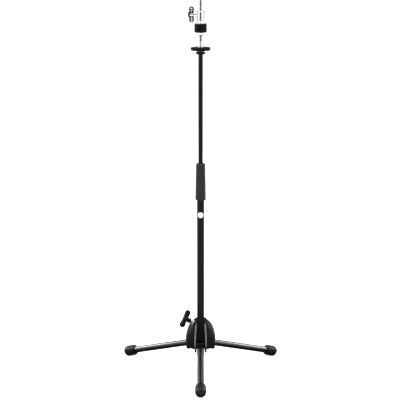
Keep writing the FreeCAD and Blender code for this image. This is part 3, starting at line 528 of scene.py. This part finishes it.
# The mast: a powder-coated steel tube that stands in the hub, with a nylon plug in its
# lower end and a small round badge, plain here, curved to the tube.

dress(powder_coat, "mast_tube")
dress(plain_nylon, "mast_plug")

# The badge's ring is the same black coat; its face is silver ink, rolled on and lacquered.
silver_ink = skin("silver_ink", "#d9dbde", "#e9ebed", 2, 0.2, 0.003, (0.22, 0.3), Coat_Weight=0.6)
dress(powder_coat, "badge_rim")
dress(silver_ink, "badge_face")


# The height clamp: a brass ferrule on the mast's top, a slit nylon collet inside, and a
# fluted nylon grip that screws down over both.

# Turned brass: warm yellow and bright, with a slightly uneven shine.
turned_brass = skin("turned_brass", "#b8904a", "#d2ac63", 2, 0.3, 0.006, (0.2, 0.3), Metallic=1.0)
dress(turned_brass, "mast_ferrule")
dress(natural_nylon, "collet")

# Gloss nylon: black nylon from a polished tool, smoother and a little shinier than the hub.
gloss_nylon = skin("gloss_moulded_nylon", "#090909", "#111111", 8, 0.6, 0.002, (0.14, 0.2),
                   Specular_IOR_Level=0.3)
dress(gloss_nylon, "grip_sleeve")


# The upper tube: a thinner powder-coated tube that slides in the mast on a nylon bush and
# carries the cymbal seat on its top.

dress(natural_nylon, "guide_bush")
dress(powder_coat, "upper_tube")
dress(powder_coat, "seat_flange")


# The cymbal seat: a chromed cup and post with a thick disc of pressed wool felt between,
# dished where it has settled round the post.

# Chrome plate over polished steel: near-white mirror with the faintest polishing haze.
chrome = skin("chrome_plate", "#e4e7ea", "#f1f3f5", 6, 0.8, 0.001, (0.05, 0.09), Metallic=1.0)
dress(chrome, "seat_cup", "seat_post")


def felt_finish():
    """Pressed wool felt: black, dead matt, with crossing fibres and a faint grey bloom."""
    finish, tree = blank_finish("pressed_wool_felt")
    fibre_width = 0.35 * mm
    clump_width = 3.5 * mm
    relief_depth = 0.25 * mm
    where = add(tree, "ShaderNodeTexCoord").outputs["Object"]
    lays = []
    for turn, stretch in (((0.4, 0.3, 0.9), (1, 0.16, 1)), ((-0.3, 0.5, -0.6), (0.16, 1, 1))):
        lean = add(tree, "ShaderNodeMapping", {"Vector": where, "Rotation": turn, "Scale": stretch})
        lays.append(add(tree, "ShaderNodeTexNoise", {
            "Vector": lean.outputs["Vector"], "Scale": 1 / fibre_width, "Detail": 3.0}))
    fibres = add(tree, "ShaderNodeMath", {
        0: lays[0].outputs["Fac"], 1: lays[1].outputs["Fac"]}, operation="MAXIMUM")
    clumps = add(tree, "ShaderNodeTexNoise", {
        "Vector": where, "Scale": 1 / clump_width, "Detail": 3.0})
    shade = add(tree, "ShaderNodeMix", {
        0: fibres.outputs[0], 6: linear("#040404"), 7: linear("#141415")}, data_type="RGBA")
    tone = add(tree, "ShaderNodeMix", {
        0: clumps.outputs["Fac"], 6: shade.outputs[2], 7: linear("#0d0d0e")}, data_type="RGBA")
    height = add(tree, "ShaderNodeMath", {
        0: fibres.outputs[0], 1: clumps.outputs["Fac"]}, operation="ADD")
    relief = add(tree, "ShaderNodeBump", {
        "Height": height.outputs[0], "Strength": 1.0, "Distance": relief_depth})
    wool = add(tree, "ShaderNodeBsdfPrincipled", {
        "Base Color": tone.outputs[2], "Roughness": 0.97, "Specular IOR Level": 0.1,
        "Sheen Weight": 0.12, "Sheen Roughness": 0.5, "Sheen Tint": linear("#8a8a8c"),
        "Normal": relief.outputs["Normal"]})
    add(tree, "ShaderNodeOutputMaterial", {"Surface": wool.outputs["BSDF"]})
    return finish


wool_felt = felt_finish()

fuzz_tree = bpy.data.node_groups.new("felt_fuzz", "GeometryNodeTree")
interface(fuzz_tree, {
    "Felt": "NodeSocketGeometry", "Fibres per square metre": "NodeSocketFloat",
    "Length": "NodeSocketFloat", "Thickness": "NodeSocketFloat", "Seed": "NodeSocketInt",
    "Finish": "NodeSocketMaterial"})
given = add(fuzz_tree, "NodeGroupInput")
roots = add(fuzz_tree, "GeometryNodeDistributePointsOnFaces", {
    "Mesh": given.outputs["Felt"], "Density": given.outputs["Fibres per square metre"],
    "Seed": given.outputs["Seed"]})
reach = add(fuzz_tree, "ShaderNodeCombineXYZ", {
    "X": given.outputs["Length"], "Z": given.outputs["Length"]})
bow = add(fuzz_tree, "ShaderNodeCombineXYZ", {"Z": given.outputs["Length"]})
fibre = add(fuzz_tree, "GeometryNodeCurveQuadraticBezier", {
    "Resolution": 3, "Start": (0, 0, 0), "Middle": bow.outputs["Vector"],
    "End": reach.outputs["Vector"]})
round_fibre = add(fuzz_tree, "GeometryNodeCurvePrimitiveCircle", {
    "Resolution": 3, "Radius": given.outputs["Thickness"]})
strand = add(fuzz_tree, "GeometryNodeCurveToMesh", {
    "Curve": fibre.outputs[0], "Profile Curve": round_fibre.outputs[0]})
spin = add(fuzz_tree, "FunctionNodeRandomValue", {
    0: (-0.9, -0.9, -pi), 1: (0.9, 0.9, pi), "Seed": 7}, data_type="FLOAT_VECTOR")
stretch = add(fuzz_tree, "FunctionNodeRandomValue", {2: 0.4, 3: 1.0, "Seed": 11}, data_type="FLOAT")
turned_roots = add(fuzz_tree, "FunctionNodeRotateEuler", {
    "Rotation": roots.outputs["Rotation"], "Rotate By": spin.outputs[0]}, space="LOCAL")
nap = add(fuzz_tree, "GeometryNodeInstanceOnPoints", {
    "Points": roots.outputs["Points"], "Instance": strand.outputs["Mesh"],
    "Rotation": turned_roots.outputs[0], "Scale": stretch.outputs[1]})
whole = add(fuzz_tree, "GeometryNodeJoinGeometry", {})
fuzz_tree.links.new(given.outputs["Felt"], whole.inputs[0])
fuzz_tree.links.new(nap.outputs["Instances"], whole.inputs[0])
shape_out(fuzz_tree, whole.outputs["Geometry"], given.outputs["Finish"])


def felt_disc(name, node, body, inner, spread, dip, bulge, seed):
    """Replace a plain felt with a pressed disc: rounded rims, a soft belly and loose fibres."""
    low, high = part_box(node)
    outer = (high.x - low.x) / 2 + spread
    gap = 0.05 * mm
    bottom, top = low.z + gap, high.z - gap
    tall = top - bottom
    crown = 0.7 * mm
    arc_steps = 8
    lump_width = 6.25 * mm
    lump_height = 0.22 * mm
    profile = [(inner, bottom)]
    for step in range(arc_steps + 1):
        turn = pi / 2 * step / arc_steps
        profile.append((outer - crown + crown * sin(turn), bottom + crown - crown * cos(turn)))
    for share in (0.35, 0.5, 0.65):
        profile.append((outer + bulge * sin(pi * share), bottom + tall * share - dip * 0.3 * share))
    for step in range(arc_steps + 1):
        turn = pi / 2 * step / arc_steps
        profile.append((outer - crown + crown * cos(turn), top - dip * 0.5 - crown + crown * sin(turn)))
    for share in (0.25, 0.5, 0.75, 0.92, 1.0):
        radius = outer - crown + (inner + 0.4 * mm - outer + crown) * share
        sink = 0.5 * cos(pi * min(share * 1.4, 1.0)) ** 2 + 0.6 * (share == 1.0)
        profile.append((radius, top - dip * sink))
    profile.append((inner, top - dip))
    mesh = lathe(name, profile, around=128, closed=True)
    middle = Vector((0, 0, (low.z + high.z) / 2))
    for point in mesh.vertices:
        if hypot(point.co.x, point.co.y) > inner + 1 * mm:
            away = (point.co - middle).normalized()
            lump = noise.noise(point.co / lump_width + Vector((seed, 0, 0)))
            point.co += away * lump * lump_height
    fluffy = grown(name, fuzz_tree, {
        "Fibres per square metre": 480000.0, "Length": 0.5 * mm, "Thickness": 0.028 * mm,
        "Seed": seed, "Finish": wool_felt}, mesh)
    finished(name, fluffy, wool_felt, body, "black_felt", node, sharp=80)


felt_disc("seat_felt_pad", "seat_felt", "post", 7.9 * mm, -0.1 * mm, 1.3 * mm, 0.2 * mm, 3)


# The rod: plain drawn steel, ground smooth, that rises through the seat post and carries
# the clutch.

# Drawn steel: a mid grey metal with a soft shine.
drawn_steel = skin("drawn_steel", "#5d5f61", "#76787a", 5, 0.4, 0.002, (0.16, 0.24), Metallic=1.0)
dress(drawn_steel, "rod")


# The clutch: a chromed body on a threaded stem, which clamps the top cymbal between two
# felts. A knurled nut sets the felts and a bowl-shaped lock nut closes them from below.

dress(chrome, "clutch_body", "clutch_stem", "adjusting_nut", "lock_nut")
dress(powder_coat, "upper_washer", "lower_washer")

knurl_tree = bpy.data.node_groups.new("straight_knurl", "GeometryNodeTree")
interface(knurl_tree, {
    "Ribs": "NodeSocketInt", "Radius": "NodeSocketFloat", "Bottom": "NodeSocketFloat",
    "Top": "NodeSocketFloat", "Rib": "NodeSocketFloat", "Finish": "NodeSocketMaterial"})
given = add(knurl_tree, "NodeGroupInput")
places = add(knurl_tree, "GeometryNodeMeshCircle", {
    "Vertices": given.outputs["Ribs"], "Radius": given.outputs["Radius"]})
height = add(knurl_tree, "ShaderNodeMath", {
    0: given.outputs["Top"], 1: given.outputs["Bottom"]}, operation="SUBTRACT")
rib = add(knurl_tree, "GeometryNodeMeshCylinder", {
    "Vertices": 8, "Radius": given.outputs["Rib"], "Depth": height.outputs[0]})
row = add(knurl_tree, "GeometryNodeInstanceOnPoints", {
    "Points": places.outputs["Mesh"], "Instance": rib.outputs["Mesh"]})
total = add(knurl_tree, "ShaderNodeMath", {
    0: given.outputs["Top"], 1: given.outputs["Bottom"]}, operation="ADD")
half = add(knurl_tree, "ShaderNodeMath", {0: total.outputs[0], 1: 0.5}, operation="MULTIPLY")
level = add(knurl_tree, "ShaderNodeCombineXYZ", {"Z": half.outputs[0]})
raised = add(knurl_tree, "GeometryNodeTransform", {
    "Geometry": row.outputs["Instances"], "Translation": level.outputs["Vector"]})
shape_out(knurl_tree, raised.outputs["Geometry"], given.outputs["Finish"])

low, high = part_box("adjusting_nut")
nut_knurl = grown("adjusting_nut_knurl", knurl_tree, {
    "Ribs": 48, "Radius": high.x - 0.3 * mm, "Bottom": low.z + 0.8 * mm, "Top": high.z - 1.2 * mm,
    "Rib": 0.55 * mm, "Finish": chrome})
finished("adjusting_nut_knurl", nut_knurl, chrome, "clutch", "chrome", sharp=30)

low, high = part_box("lock_nut")
lock_knurl = grown("lock_nut_knurl", knurl_tree, {
    "Ribs": 56, "Radius": high.x - 0.3 * mm, "Bottom": high.z - 2.4 * mm, "Top": high.z - 0.7 * mm,
    "Rib": 0.5 * mm, "Finish": chrome})
finished("lock_nut_knurl", lock_knurl, chrome, "lock_nut", "chrome", sharp=30)

felt_disc("upper_felt_pad", "upper_felt", "clutch", 6.5 * mm, 0.6 * mm, 0.3 * mm, 0.1 * mm, 5)
felt_disc("lower_felt_pad", "lower_felt", "clutch", 6.5 * mm, 0.8 * mm, 0.3 * mm, 0.1 * mm, 9)


# The wing screw: a steel screw through the clutch's boss that grips the rod, with a
# die-cast wing. Each lobe of the wing has an oval dish for the thumb.

dress(zinc_steel, "clutch_screw")
wing_pivot = Vector(joint_named("clutch_wing_turn")["pos_m"])
wing_place = (Matrix.Translation(wing_pivot) @ Matrix.Rotation(pi, 4, "Z")
              @ Matrix.Rotation(pi / 2, 4, "Y"))
boss_face = 19.0 * mm
wing_start = 21.4 * mm
wing_end = wing_start + 15.4 * mm
wing_thread = grown("clutch_screw_thread", thread_tree, {
    "Radius": 2.95 * mm, "Pitch": 1.0 * mm, "Start": boss_face + 0.1 * mm,
    "End": wing_start + 0.2 * mm, "Ridge": 0.28 * mm, "Finish": zinc_steel})
wing_thread.transform(wing_place)
finished("clutch_screw_thread", wing_thread, zinc_steel, "clutch_screw", "zinc_steel", sharp=60)

# The wing is black-chromed, a dark mirror, and its dishes and boss face are polished bright.
black_chrome = skin("black_chrome_plate", "#0c0d0e", "#17181a", 4, 0.6, 0.001, (0.12, 0.2),
                    Metallic=1.0)
wing_half = 23.2 * mm
lobe_radius = 8.2 * mm
lobe_depth = 7.3 * mm
lobe_middle = 14.2 * mm
wing_middle = 26.6 * mm
wing_waist = 6.0 * mm
wing_thickness = 3.3 * mm
wing_bar = bone("wing_bar", wing_half, lobe_radius, lobe_depth, wing_waist, wing_thickness,
                wing_middle, 0.72)
boss_radius = 7.8 * mm
wing_boss = lathe("wing_boss", [
    (0, wing_start), (boss_radius - 0.8 * mm, wing_start), (boss_radius, wing_start + 0.8 * mm),
    (boss_radius, wing_end - 2.2 * mm), (boss_radius - 1.4 * mm, wing_end - 0.4 * mm),
    (0, wing_end)])
wing = fused("clutch_wing", [wing_bar, wing_boss], 0.34 * mm, 5)

# The dishes are sunk into both faces of each lobe; the points there and on the boss shine.
dish_depth = 1.3 * mm
dish_half, dish_width = 5.8 * mm, 2.7 * mm
patch_half, patch_width = 4.6 * mm, 5.4 * mm
bright = set()
for point in wing.vertices:
    x, y, z = point.co
    for side in (-1, 1):
        oval = hypot((x - side * lobe_middle) / dish_half, (z - wing_middle) / dish_width)
        if oval < 1 and abs(y) > 1 * mm:
            bright.add(point.index)
            sink = dish_depth * min(1.0, 2.2 * max(0.0, 1 - oval))
            point.co.y -= sink if y > 0 else -sink
    if hypot(x / patch_half, (z - wing_middle) / patch_width) < 1 and abs(y) > 3 * mm:
        bright.add(point.index)
wing.transform(wing_place)
wing_piece = finished("wing_casting", wing, black_chrome, "clutch_wing", "chrome", "clutch_wing", sharp=80)
wing_piece.data.materials.append(chrome)
for face in wing_piece.data.polygons:
    if all(index in bright for index in face.vertices):
        face.material_index = 1
